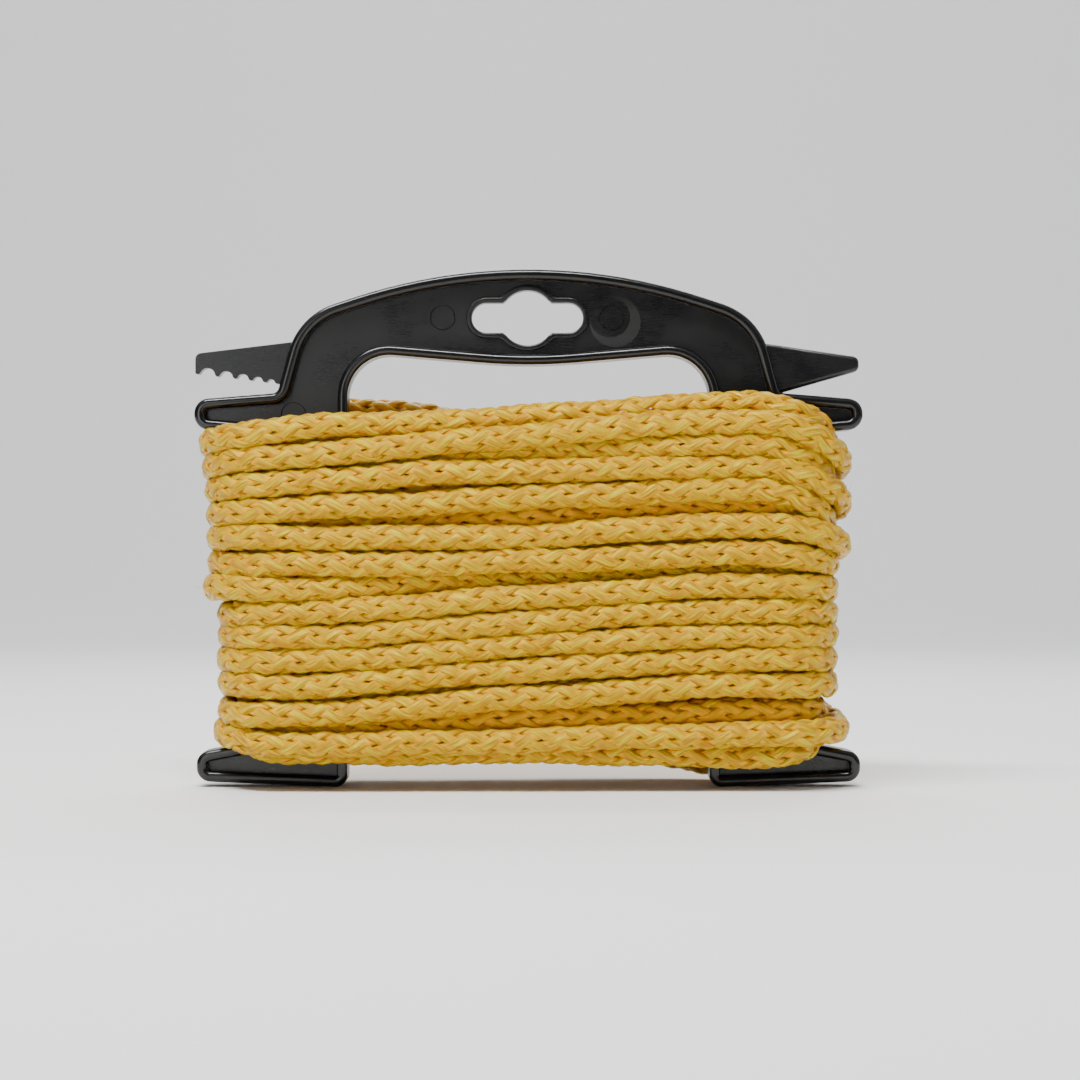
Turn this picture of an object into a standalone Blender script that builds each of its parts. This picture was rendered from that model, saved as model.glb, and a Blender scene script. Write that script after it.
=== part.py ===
"""Hand winder: a one-piece moulded H frame with a carrying handle, and the rope wound on it.

The frame stands in the XZ plane, its front faces -Y, and the origin is on the ground midway
between the feet. Lengths are metres.
"""

import math

import bmesh
import bpy
from mathutils import Matrix

COLLECTION = "hand_winder"
CUTTER_COLLECTION = "hand_winder_cutters"

# Frame: depths along Y.
RIM_DEPTH = 0.011
WEB_DEPTH = 0.003
BOSS_DEPTH = 0.005
JAW_DEPTH = 0.004
SPIKE_DEPTH = 0.005
EDGE_ROUND = 0.0011
SPIKE_ROUND = 0.0015

# Frame: its outline across X and up Z.
OUTER_BEAD = 0.0031
INNER_BEAD = 0.0029
GRIP_HALF = 0.0518
UPRIGHT_OUTER = 0.0725
ARCH_CORNER_Z = 0.1567
ARCH_RADIUS = 0.160
SHOULDER = (0.0659, 0.1350)
SHOULDER_RADIUS = 0.020
HORN_ROOT = (0.0719, 0.1128)
HORN_TIP_X = 0.0957
HORN_TIP_Z = (0.1025, 0.1110)
HORN_TIP_RADIUS = 0.0044
HORN_UNDERSIDE_Z = 0.1005
FOOT_TIP_X = 0.0950
FOOT_TIP_TOP_Z = 0.0098
FOOT_TIP_RADIUS = 0.0040
FOOT_ROOT_Z = 0.0140
SOLE_SLOPE = math.radians(2.35)
SOLE_CORNER_RADIUS = 0.0035
ROOT_RADIUS = 0.0020
CROSSBAR_Z = (0.0470, 0.0650)
CROSSBAR_RADIUS = 0.0080
GRIP_TOP_MIDDLE_Z = 0.1203
GRIP_TOP_SIDE_Z = 0.1247
GRIP_BELLY_RADIUS = 0.160
GRIP_CORNER_RADIUS = 0.0120

# Hang hole in the handle: a round hole on a long slot, with a low rim.
HANG_CENTRE = (-0.0003, 0.1345)
HANG_ROUND_RADIUS = 0.0079
HANG_SLOT_LENGTH = 0.0320
HANG_SLOT_HEIGHT = 0.0086
HANG_RIM = 0.0016
HANG_CORNER_ANGLE = math.radians(8)

# Round ejector-pin marks on the front of the web.
PIN_MARKS = ((-0.0246, 0.1346), (0.0240, 0.1346), (-0.0675, 0.1067))
PIN_MARK_RADIUS = 0.0037
PIN_MARK_DEPTH = 0.0003

# Jaw plate on the left, with notches that shrink towards its root.
JAW_CORNERS = (
    (-0.0665, 0.1277, 0.0),
    (-0.0957, 0.1242, 0.0018),
    (-0.0957, 0.1183, 0.0006),
    (-0.0698, 0.1152, 0.0),
)
NOTCH_COUNT = 5
NOTCH_START_X = -0.0922
NOTCH_FIRST_RADIUS = 0.0022
NOTCH_RADIUS_STEP = 0.00026
TOOTH_WIDTH = 0.0012

# Spike plate on the right.
SPIKE_CORNERS = (
    (0.0702, 0.1123, 0.0),
    (0.0949, 0.1193, 0.0019),
    (0.0949, 0.1233, 0.0019),
    (0.0663, 0.1275, 0.0),
)

# Rope.
ROPE_DIAMETER = 0.0075
TOUCH_GAP = 0.0003
COIL_HALF_DEPTH = 0.0270
COIL_END_CENTRE_X = 0.0665
COIL_FRONT_CORNERS = (
    (-0.0940, 0.1015, 0.003),
    (-0.0935, 0.0200, 0.006),
    (-0.0900, 0.0105, 0.006),
    (-0.0570, 0.0058, 0.020),
    (0.0600, 0.0066, 0.030),
    (0.0933, 0.0095, 0.005),
    (0.0933, 0.1122, 0.012),
    (0.0660, 0.1128, 0.020),
    (-0.0620, 0.1063, 0.020),
)
COIL_END_Z = (0.0163, 0.0982)
COIL_HALVES_OVERLAP = 0.0010
TAIL_ROUTE = (
    (0.0180, 0.0236, 0.0122),
    (0.0300, 0.0236, 0.0103),
    (0.0410, 0.0224, 0.0074),
    (0.0520, 0.0194, 0.0052),
    (0.0620, 0.0158, 0.0046),
    (0.0720, 0.0126, 0.0052),
    (0.0820, 0.0108, 0.0072),
)
TAIL_STEPS = 3

# A length that reaches past every part, for cutters.
BEYOND = 0.160

# Curve quality.
CHORD_ERROR = 0.0001
ROUND_SEGMENTS = 1


def clear_scene():
    for item in list(bpy.data.objects):
        bpy.data.objects.remove(item)


def new_collection(name):
    collection = bpy.data.collections.new(name)
    bpy.context.scene.collection.children.link(collection)
    return collection


def plastic(name, colour, roughness):
    material = bpy.data.materials.new(name)
    material.use_nodes = True
    shader = material.node_tree.nodes["Principled BSDF"]
    shader.inputs["Base Color"].default_value = (*colour, 1.0)
    shader.inputs["Roughness"].default_value = roughness
    shader.inputs["Metallic"].default_value = 0.0
    return material


def unit(dx, dz):
    length = math.hypot(dx, dz)
    return dx / length, dz / length


def turn_at(corners, index):
    """Signed turn in radians at one corner of a closed outline, with both edge directions."""
    x0, z0 = corners[index - 1][:2]
    x1, z1 = corners[index][:2]
    x2, z2 = corners[(index + 1) % len(corners)][:2]
    before = unit(x1 - x0, z1 - z0)
    after = unit(x2 - x1, z2 - z1)
    cross = before[0] * after[1] - before[1] * after[0]
    dot = before[0] * after[0] + before[1] * after[1]
    return math.atan2(cross, dot), before, after


def rounded(corners):
    """Points round a closed outline of (x, z, fillet radius) corners, fillets drawn as arcs."""
    points = []
    for index, (x, z, radius) in enumerate(corners):
        turn, before, after = turn_at(corners, index)
        if radius == 0.0 or abs(turn) < 1e-6:
            points.append((x, z))
            continue
        tangent = radius * math.tan(abs(turn) / 2)
        side = math.copysign(1.0, turn)
        start = (x - before[0] * tangent, z - before[1] * tangent)
        centre = (start[0] - before[1] * radius * side, start[1] + before[0] * radius * side)
        step = 2 * math.acos(1 - CHORD_ERROR / radius)
        count = max(2, math.ceil(abs(turn) / step))
        for number in range(count + 1):
            angle = turn * number / count
            dx, dz = start[0] - centre[0], start[1] - centre[1]
            points.append((
                centre[0] + dx * math.cos(angle) - dz * math.sin(angle),
                centre[1] + dx * math.sin(angle) + dz * math.cos(angle),
            ))
    return points


def inset(corners, distance):
    """The same counter-clockwise outline moved inwards by a distance (outwards when negative)."""
    moved = []
    for index, (x, z, radius) in enumerate(corners):
        turn, before, after = turn_at(corners, index)
        reach = distance * math.tan(turn / 2)
        new_x = x - before[1] * distance - before[0] * reach
        new_z = z + before[0] * distance - before[1] * reach
        new_radius = radius - distance if turn > 0 else radius + distance
        moved.append((new_x, new_z, max(new_radius, 0.0004)))
    return moved


def outline_object(name, loops, depth, collection, plane="XZ"):
    """A flat outline of closed loops, as a mesh of the given depth centred on the plane."""
    curve = bpy.data.curves.new(name, "CURVE")
    curve.dimensions = "2D"
    curve.fill_mode = "BOTH"
    curve.extrude = depth / 2
    for loop in loops:
        spline = curve.splines.new("POLY")
        spline.points.add(len(loop) - 1)
        for point, (u, v) in zip(spline.points, loop):
            point.co = (u, v, 0.0, 1.0)
        spline.use_cyclic_u = True
    source = bpy.data.objects.new(name, curve)
    collection.objects.link(source)
    if plane == "XZ":
        source.rotation_euler = (math.pi / 2, 0.0, 0.0)
    bpy.context.view_layer.update()
    return solid_from_curve(source, name, collection)


def solid_from_curve(source, name, collection):
    """Replace a curve object by a welded mesh object that Booleans and bevels accept."""
    graph = bpy.context.evaluated_depsgraph_get()
    mesh = bpy.data.meshes.new_from_object(source.evaluated_get(graph))
    mesh.transform(source.matrix_world)
    bpy.data.objects.remove(source)
    edit = bmesh.new()
    edit.from_mesh(mesh)
    bmesh.ops.remove_doubles(edit, verts=edit.verts, dist=1e-6)
    bmesh.ops.recalc_face_normals(edit, faces=edit.faces)
    edit.to_mesh(mesh)
    edit.free()
    mesh.name = name
    solid = bpy.data.objects.new(name, mesh)
    collection.objects.link(solid)
    return solid


def round_edges(solid, width, segments=ROUND_SEGMENTS):
    bevel = solid.modifiers.new("edge_round", "BEVEL")
    bevel.width = width
    bevel.segments = segments
    bevel.limit_method = "ANGLE"
    bevel.angle_limit = math.radians(50)


def boolean(solid, operation, tool):
    modifier = solid.modifiers.new(operation.lower() + "_" + tool.name, "BOOLEAN")
    modifier.operation = operation
    modifier.object = tool
    modifier.solver = "EXACT"
    tool.hide_render = True
    tool.display_type = "WIRE"


def cylinder(name, centre, radius, depth, collection, vertices=32):
    """A round bar along Y."""
    mesh = bpy.data.meshes.new(name)
    edit = bmesh.new()
    bmesh.ops.create_cone(edit, cap_ends=True, segments=vertices, radius1=radius, radius2=radius, depth=depth)
    edit.to_mesh(mesh)
    edit.free()
    bar = bpy.data.objects.new(name, mesh)
    bar.location = centre
    bar.rotation_euler = (math.pi / 2, 0.0, 0.0)
    collection.objects.link(bar)
    return bar


def box(name, low, high, collection):
    mesh = bpy.data.meshes.new(name)
    edit = bmesh.new()
    size = [b - a for a, b in zip(low, high)]
    middle = [(a + b) / 2 for a, b in zip(low, high)]
    place = Matrix.Translation(middle) @ Matrix.Diagonal((*size, 1.0))
    bmesh.ops.create_cube(edit, size=1.0, matrix=place)
    edit.to_mesh(mesh)
    edit.free()
    block = bpy.data.objects.new(name, mesh)
    collection.objects.link(block)
    return block


def sole_z(x):
    """Height of a foot's sloping sole, so that its inner corner's fillet just touches the ground."""
    rise = math.tan(SOLE_SLOPE)
    corner = -SOLE_CORNER_RADIUS * (rise + 1 / math.cos(SOLE_SLOPE) - 1)
    return corner + rise * (x - GRIP_HALF)


def frame_outline():
    """Corners of the H outline, counter-clockwise from the top of the arch."""
    right = [
        (GRIP_HALF, CROSSBAR_Z[0], CROSSBAR_RADIUS),
        (GRIP_HALF, sole_z(GRIP_HALF), SOLE_CORNER_RADIUS),
        (FOOT_TIP_X, sole_z(FOOT_TIP_X), FOOT_TIP_RADIUS),
        (FOOT_TIP_X, FOOT_TIP_TOP_Z, FOOT_TIP_RADIUS),
        (UPRIGHT_OUTER, FOOT_ROOT_Z, ROOT_RADIUS),
        (UPRIGHT_OUTER, HORN_UNDERSIDE_Z, ROOT_RADIUS),
        (HORN_TIP_X, HORN_TIP_Z[0], HORN_TIP_RADIUS),
        (HORN_TIP_X, HORN_TIP_Z[1], HORN_TIP_RADIUS),
        (*HORN_ROOT, ROOT_RADIUS),
        (*SHOULDER, SHOULDER_RADIUS),
    ]
    left = [(-x, z, radius) for x, z, radius in reversed(right)]
    return [(0.0, ARCH_CORNER_Z, ARCH_RADIUS)] + left + right


def grip_outline():
    """Corners of the finger opening between crossbar and handle, counter-clockwise."""
    return [
        (-GRIP_HALF, CROSSBAR_Z[1], CROSSBAR_RADIUS),
        (GRIP_HALF, CROSSBAR_Z[1], CROSSBAR_RADIUS),
        (GRIP_HALF, GRIP_TOP_SIDE_Z, GRIP_CORNER_RADIUS),
        (0.0, GRIP_TOP_MIDDLE_Z, GRIP_BELLY_RADIUS),
        (-GRIP_HALF, GRIP_TOP_SIDE_Z, GRIP_CORNER_RADIUS),
    ]


def arc(centre, radius, start, end):
    """Points along an arc, with angles in radians from +X towards +Z."""
    step = 2 * math.acos(1 - CHORD_ERROR / radius)
    count = max(2, math.ceil((end - start) / step))
    angles = [start + (end - start) * number / count for number in range(count + 1)]
    return [(centre[0] + radius * math.cos(a), centre[1] + radius * math.sin(a)) for a in angles]


def hang_outline(margin):
    """The hang hole, a round hole on a long slot, grown by a margin."""
    x, z = HANG_CENTRE
    round_radius = HANG_ROUND_RADIUS + margin
    end_radius = HANG_SLOT_HEIGHT / 2 + margin
    end_x = (HANG_SLOT_LENGTH - HANG_SLOT_HEIGHT) / 2
    meet = math.asin(end_radius / round_radius) + HANG_CORNER_ANGLE
    quarter = math.pi / 2
    points = arc((x + end_x, z), end_radius, -quarter, quarter)
    points += arc(HANG_CENTRE, round_radius, meet, math.pi - meet)
    points += arc((x - end_x, z), end_radius, quarter, 3 * quarter)
    points += arc(HANG_CENTRE, round_radius, math.pi + meet, 2 * math.pi - meet)
    return points


def jaw_notches(collection):
    """Round cutters along the jaw's toothed edge, each smaller than the one before."""
    tip_x, tip_z, _ = JAW_CORNERS[2]
    root_x, root_z, _ = JAW_CORNERS[3]
    slope = (root_z - tip_z) / (root_x - tip_x)
    cutters = []
    x = NOTCH_START_X
    radius = NOTCH_FIRST_RADIUS
    for number in range(NOTCH_COUNT):
        z = tip_z + slope * (x - tip_x)
        name = "notch_%d" % (number + 1)
        cutters.append(cylinder(name, (x, 0.0, z), radius, 2 * JAW_DEPTH, collection, 20))
        x += 2 * radius - NOTCH_RADIUS_STEP + TOOTH_WIDTH
        radius -= NOTCH_RADIUS_STEP
    return cutters


def build_frame(collection, cutters):
    outer = frame_outline()
    grip = grip_outline()
    frame = outline_object("winder_frame", [rounded(outer), rounded(grip)], RIM_DEPTH, collection)
    pocket_loops = [rounded(inset(outer, OUTER_BEAD)), rounded(inset(grip, -INNER_BEAD))]
    for side, sign in (("front", -1), ("back", 1)):
        pocket = outline_object("pocket_" + side, pocket_loops, RIM_DEPTH, cutters)
        pocket.location.y = sign * (WEB_DEPTH + RIM_DEPTH) / 2
        boolean(frame, "DIFFERENCE", pocket)
    round_edges(frame, EDGE_ROUND)

    boss = outline_object("hang_boss", [hang_outline(HANG_RIM)], BOSS_DEPTH, cutters)
    boolean(frame, "UNION", boss)
    hole = outline_object("hang_hole", [hang_outline(0.0)], 2 * RIM_DEPTH, cutters)
    boolean(frame, "DIFFERENCE", hole)

    jaw = outline_object("jaw_plate", [rounded(JAW_CORNERS)], JAW_DEPTH, cutters)
    for notch in jaw_notches(cutters):
        boolean(jaw, "DIFFERENCE", notch)
    boolean(frame, "UNION", jaw)

    spike = outline_object("spike_plate", [rounded(SPIKE_CORNERS)], SPIKE_DEPTH, cutters)
    round_edges(spike, SPIKE_ROUND)
    boolean(frame, "UNION", spike)

    for number, (x, z) in enumerate(PIN_MARKS):
        place = (x, -WEB_DEPTH / 2, z)
        mark = cylinder("pin_mark_%d" % (number + 1), place, PIN_MARK_RADIUS, 2 * PIN_MARK_DEPTH, cutters, 24)
        boolean(frame, "DIFFERENCE", mark)
    frame.data.materials.append(plastic("black_polypropylene", (0.016, 0.017, 0.018), 0.38))
    return frame


def blend(a, b, c, d, t):
    """One coordinate of a Catmull-Rom curve, a share t of the way from b to c."""
    square = 2 * a - 5 * b + 4 * c - d
    cube = 3 * b - a - 3 * c + d
    return 0.5 * (2 * b + (c - a) * t + square * t ** 2 + cube * t ** 3)


def smooth_route(points, steps):
    """Points of a Catmull-Rom curve through the route's own points."""
    before = tuple(2 * a - b for a, b in zip(points[0], points[1]))
    after = tuple(2 * a - b for a, b in zip(points[-1], points[-2]))
    padded = [before, *points, after]
    route = []
    for p0, p1, p2, p3 in zip(padded, padded[1:], padded[2:], padded[3:]):
        for number in range(steps):
            t = number / steps
            route.append(tuple(blend(a, b, c, d, t) for a, b, c, d in zip(p0, p1, p2, p3)))
    route.append(points[-1])
    return route


def tail_tube(name, radius, collection):
    curve = bpy.data.curves.new(name, "CURVE")
    curve.dimensions = "3D"
    curve.bevel_depth = radius
    curve.bevel_resolution = 3
    curve.use_fill_caps = True
    route = smooth_route(TAIL_ROUTE, TAIL_STEPS)
    spline = curve.splines.new("POLY")
    spline.points.add(len(route) - 1)
    for point, place in zip(spline.points, route):
        point.co = (*place, 1.0)
    source = bpy.data.objects.new(name, curve)
    collection.objects.link(source)
    return solid_from_curve(source, name, collection)


def coil_half(name, collection, cutters):
    """The coil's front half: the stadium seen from above, cut to the outline seen from the front."""
    half_width = COIL_END_CENTRE_X + COIL_HALF_DEPTH
    radius = COIL_HALF_DEPTH * 0.999
    stadium = [
        (-half_width, -COIL_HALF_DEPTH, radius),
        (half_width, -COIL_HALF_DEPTH, radius),
        (half_width, COIL_HALF_DEPTH, radius),
        (-half_width, COIL_HALF_DEPTH, radius),
    ]
    half = outline_object(name, [rounded(stadium)], BEYOND, collection, plane="XY")
    half.location.z = BEYOND / 2
    depth = COIL_HALF_DEPTH + 2 * COIL_HALVES_OVERLAP
    front = outline_object(name + "_front_view", [rounded(COIL_FRONT_CORNERS)], depth, cutters)
    front.parent = half
    front.location = (0.0, COIL_HALVES_OVERLAP - depth / 2, -BEYOND / 2)
    boolean(half, "INTERSECT", front)
    return half


def build_coil(collection, cutters):
    coil = coil_half("rope_coil", collection, cutters)
    rear = coil_half("rope_coil_rear", cutters, cutters)
    rear.rotation_euler = (0.0, 0.0, math.pi)
    boolean(coil, "UNION", rear)
    half_rim = RIM_DEPTH / 2 + TOUCH_GAP
    inner_x = UPRIGHT_OUTER + TOUCH_GAP
    rooms = (
        ("coil_core", (-inner_x, -half_rim, -BEYOND), (inner_x, half_rim, BEYOND)),
        ("coil_horn_room", (-BEYOND, -half_rim, COIL_END_Z[1]), (BEYOND, half_rim, BEYOND)),
        ("coil_foot_room", (-BEYOND, -half_rim, -BEYOND), (BEYOND, half_rim, COIL_END_Z[0])),
    )
    for name, low, high in rooms:
        boolean(coil, "DIFFERENCE", box(name, low, high, cutters))
    tail_room = tail_tube("coil_tail_room", ROPE_DIAMETER / 2 + TOUCH_GAP, cutters)
    boolean(coil, "DIFFERENCE", tail_room)
    coil.data.materials.append(plastic("yellow_rope_coil", (0.80, 0.50, 0.03), 0.45))
    return coil


def build_tail(collection):
    tail = tail_tube("rope_tail", ROPE_DIAMETER / 2, collection)
    tail.data.materials.append(plastic("yellow_rope_tail", (0.80, 0.50, 0.03), 0.45))
    tail.data.shade_smooth()
    return tail


def main():
    clear_scene()
    parts = new_collection(COLLECTION)
    cutters = new_collection(CUTTER_COLLECTION)
    build_frame(parts, cutters)
    build_coil(parts, cutters)
    build_tail(parts)


main()
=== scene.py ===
"""A hand winder full of braided yellow rope, standing on a pale studio floor.

The rope is laid out in millimetres, and MM turns it into metres. Everything else is in metres.
"""

import math

import bmesh
import bpy
import numpy as np
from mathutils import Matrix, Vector


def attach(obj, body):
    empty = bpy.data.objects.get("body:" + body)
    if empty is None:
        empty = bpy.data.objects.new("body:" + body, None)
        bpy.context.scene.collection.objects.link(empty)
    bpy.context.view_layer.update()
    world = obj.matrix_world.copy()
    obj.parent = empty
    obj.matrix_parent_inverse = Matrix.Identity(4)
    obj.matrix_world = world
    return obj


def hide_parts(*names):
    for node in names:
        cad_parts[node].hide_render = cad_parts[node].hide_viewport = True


MM = 0.001

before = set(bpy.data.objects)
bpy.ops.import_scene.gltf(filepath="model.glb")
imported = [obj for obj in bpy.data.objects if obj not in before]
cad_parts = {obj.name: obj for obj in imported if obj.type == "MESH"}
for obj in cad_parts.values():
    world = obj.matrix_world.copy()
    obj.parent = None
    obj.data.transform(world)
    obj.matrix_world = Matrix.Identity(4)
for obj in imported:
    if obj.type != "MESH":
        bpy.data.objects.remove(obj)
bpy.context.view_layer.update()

# ---------------------------------------------------------------- camera

# SEEN_WIDTH is how much the camera takes in from side to side at Y = 0.
CAMERA_PLACE = (0.0033, -0.7500, 0.0707)
SEEN_WIDTH = 0.311
SENSOR_WIDTH = 36.0

camera = bpy.data.objects.new("camera", bpy.data.cameras.new("camera"))
camera.data.sensor_width = SENSOR_WIDTH
camera.data.lens = SENSOR_WIDTH * -CAMERA_PLACE[1] / SEEN_WIDTH
camera.data.clip_start = 0.01
camera.data.clip_end = 20.0
camera.location = CAMERA_PLACE
camera.rotation_euler = (math.pi / 2, 0.0, 0.0)
bpy.context.scene.collection.objects.link(camera)
bpy.context.scene.camera = camera

# ---------------------------------------------------------------- the rope's route

# In millimetres. The winding goes round a core, the uprights: corners at (CORE_X, CORE_Y), then
# rounded by the core's own edge plus how far out the rope lies.
CORE_X = 71.4
CORE_Y = 4.4
CORE_ROUND = 1.1

# Along one turn, from the right end: the wrap round the right upright, the front run right,
# middle and left, the wrap round the left upright, the back run left and right.
FRONT_RIGHT_X = 64.4
FRONT_MIDDLE_X = -2.2
FRONT_LEFT_X = -68.8
BACK_X = 62.0

# Each turn is two rows of seven at those places: heights above the ground, and how far the
# rope's centre lies out from the core.
INNER_TURNS = 12
INNER_TOP = 96.5
INNER_PITCH = 7.14
INNER_OUT = 3.55
INNER_EASE = 0.6

# How far out a layer usually lies, which sets the length of its turns.
MIDDLE_OUT = 9.6
OUTER_OUT = 15.8

MIDDLE_TURNS = (
    ((22.0, 22.3, 20.4, 17.5, 17.6, 18.5, 31.5), (8.2, 11.3, 11.2, 9.6, 8.3, 9.9, 9.9)),
    ((33.0, 33.7, 30.4, 25.8, 25.6, 25.8, 39.0), (8.2, 9.6, 9.6, 9.6, 8.3, 9.9, 9.9)),
    ((40.0, 40.7, 37.6, 33.5, 33.4, 33.5, 46.0), (8.2, 9.6, 9.6, 9.6, 8.3, 9.9, 9.9)),
    ((47.0, 47.4, 44.3, 40.1, 41.0, 40.5, 53.0), (8.2, 9.6, 9.6, 9.6, 8.3, 9.9, 9.9)),
    ((54.0, 54.2, 51.1, 48.5, 49.0, 48.5, 68.0), (8.2, 9.6, 9.6, 9.6, 9.0, 9.9, 9.9)),
    ((70.0, 71.1, 68.1, 67.3, 66.8, 67.0, 77.0), (8.2, 9.6, 9.6, 9.6, 11.2, 9.9, 9.9)),
    ((77.5, 80.3, 76.9, 75.2, 74.8, 75.0, 84.0), (8.2, 11.2, 11.0, 9.6, 11.2, 9.9, 9.9)),
    ((84.0, 87.9, 86.4, 82.9, 82.0, 83.0, 95.0), (8.2, 9.6, 9.6, 9.6, 11.2, 9.9, 9.9)),
    ((94.5, 101.5, 100.8, 97.7, 96.5, 109.4, 96.5), (8.4, 9.0, 8.5, 9.6, 10.5, 14.0, 16.8)),
)

OUTER_TURNS = (
    ((97.0, 108.7, 105.1, 101.5, 98.0, 101.5, 90.5), (13.5, 12.3, 12.0, 15.8, 19.2, 16.8, 16.8)),
    ((91.8, 104.0, 99.6, 94.0, 91.3, 94.5, 85.2), (17.2, 17.0, 16.5, 15.8, 18.4, 16.8, 16.8)),
    ((86.2, 97.6, 95.1, 90.3, 89.3, 89.6, 80.2), (12.6, 15.8, 13.0, 9.6, 11.3, 12.0, 16.8)),
    ((80.8, 91.2, 90.1, 86.7, 84.8, 85.3, 75.4), (17.2, 15.8, 16.0, 15.8, 17.2, 16.8, 16.8)),
    ((75.2, 84.6, 82.6, 79.0, 78.0, 78.2, 70.2), (12.8, 15.8, 15.8, 15.8, 17.2, 16.8, 16.8)),
    ((69.4, 75.1, 71.6, 71.3, 71.1, 71.2, 64.9), (17.0, 15.8, 15.8, 15.8, 16.9, 16.8, 16.8)),
    ((63.4, 67.1, 64.6, 63.9, 63.9, 64.0, 60.4), (13.5, 15.8, 15.8, 15.8, 16.5, 16.8, 11.8)),
    ((59.5, 62.0, 59.9, 57.1, 57.4, 57.1, 56.5), (8.6, 10.0, 11.0, 15.8, 18.0, 16.8, 16.8)),
    ((56.8, 57.7, 54.6, 49.9, 49.8, 49.9, 50.3), (13.2, 15.8, 15.8, 15.8, 13.5, 16.8, 16.8)),
    ((50.1, 50.8, 47.7, 43.3, 43.3, 43.2, 44.0), (13.2, 15.8, 15.8, 15.8, 13.5, 16.8, 16.8)),
    ((43.5, 44.1, 41.0, 36.9, 36.9, 36.8, 37.5), (13.2, 15.8, 15.8, 15.8, 13.5, 16.8, 16.8)),
    ((36.8, 37.4, 34.2, 30.0, 30.2, 30.0, 30.8), (13.2, 15.8, 15.8, 15.8, 13.5, 16.8, 16.8)),
    ((29.8, 30.0, 26.6, 21.6, 22.6, 22.8, 23.5), (13.0, 15.8, 15.8, 15.8, 13.5, 16.8, 16.8)),
    ((17.6, 16.3, 14.7, 13.3, 16.4, 16.2, 17.6), (16.6, 15.8, 15.8, 15.8, 14.6, 16.8, 16.8)),
    ((16.4, 10.2, 11.0, 10.9, 16.2, 10.8, 10.6), (9.2, 12.2, 9.7, 9.1, 8.2, 13.0, 19.0)),
)

# The last turn leaves the coil here on the back and slopes down behind the right foot.
TAIL_FROM_X = 4.0
TAIL = (
    (18.0, 24.4, 10.6),
    (30.0, 24.0, 9.4),
    (41.0, 22.4, 7.1),
    (52.0, 19.4, 5.2),
    (62.0, 15.8, 4.5),
    (72.0, 12.6, 5.2),
    (82.0, 10.8, 7.2),
)

# How many points before the end of the coil the tail begins, and how many points it has.
TAIL_JOIN = 9
TAIL_POINTS = 80

# The rope's inner end lies here on the front, under the top turns.
START_X = 60.0

# Rows are never quite straight: size, length and shift of small waves up and down, and in and out.
HEIGHT_WAVES = ((0.22, 8.7, 0.0), (0.16, 4.9, 1.3), (0.20, 17.3, 4.0))
OUT_WAVES = ((0.16, 9.9, 0.7), (0.14, 5.3, 2.9))

ROUTE_STEP = 1.0
SOFTENING_PASSES = 6


def turn_sizes(out):
    """Lengths of one corner arc and of one whole turn."""
    quarter = math.pi / 2 * (CORE_ROUND + out)
    return quarter, 4 * CORE_X + 4 * quarter + 4 * CORE_Y


def key_places(quarter):
    """Where a turn's seven keys are, as lengths from the start of its front run."""
    wrap = quarter + CORE_Y
    back = 2 * CORE_X + 2 * wrap
    return (
        -wrap,
        CORE_X - FRONT_RIGHT_X,
        CORE_X - FRONT_MIDDLE_X,
        CORE_X - FRONT_LEFT_X,
        2 * CORE_X + wrap,
        back + CORE_X - BACK_X,
        back + CORE_X + BACK_X,
    )


def all_turns():
    """Each turn's usual distance out, then its seven heights and its seven distances out."""
    turns = []
    for number in range(INNER_TURNS):
        z = INNER_TOP - INNER_PITCH * number
        below = max(z - INNER_PITCH, INNER_TOP - INNER_PITCH * (INNER_TURNS - 1))
        heights = (z, z, z, z, z, z - INNER_EASE, below + INNER_EASE)
        turns.append((INNER_OUT, heights, (INNER_OUT,) * 7))
    turns += [(MIDDLE_OUT, *turn) for turn in MIDDLE_TURNS]
    turns += [(OUTER_OUT, *turn) for turn in OUTER_TURNS]
    return turns


def monotone(x, y, at):
    """A smooth curve through the keys that never swings past them."""
    step = np.diff(x)
    slope = np.diff(y) / step
    tangent = np.zeros_like(y)
    tangent[0] = slope[0]
    tangent[-1] = slope[-1]
    same = slope[:-1] * slope[1:] > 0
    w1 = 2 * step[1:] + step[:-1]
    w2 = step[1:] + 2 * step[:-1]
    safe_a = np.where(same, slope[:-1], 1.0)
    safe_b = np.where(same, slope[1:], 1.0)
    tangent[1:-1] = np.where(same, (w1 + w2) / (w1 / safe_a + w2 / safe_b), 0.0)
    index = np.clip(np.searchsorted(x, at) - 1, 0, len(x) - 2)
    t = (at - x[index]) / step[index]
    h00 = 2 * t ** 3 - 3 * t ** 2 + 1
    h10 = t ** 3 - 2 * t ** 2 + t
    h01 = 3 * t ** 2 - 2 * t ** 3
    h11 = t ** 3 - t ** 2
    width = step[index]
    return (
        h00 * y[index]
        + h10 * width * tangent[index]
        + h01 * y[index + 1]
        + h11 * width * tangent[index + 1]
    )


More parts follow.
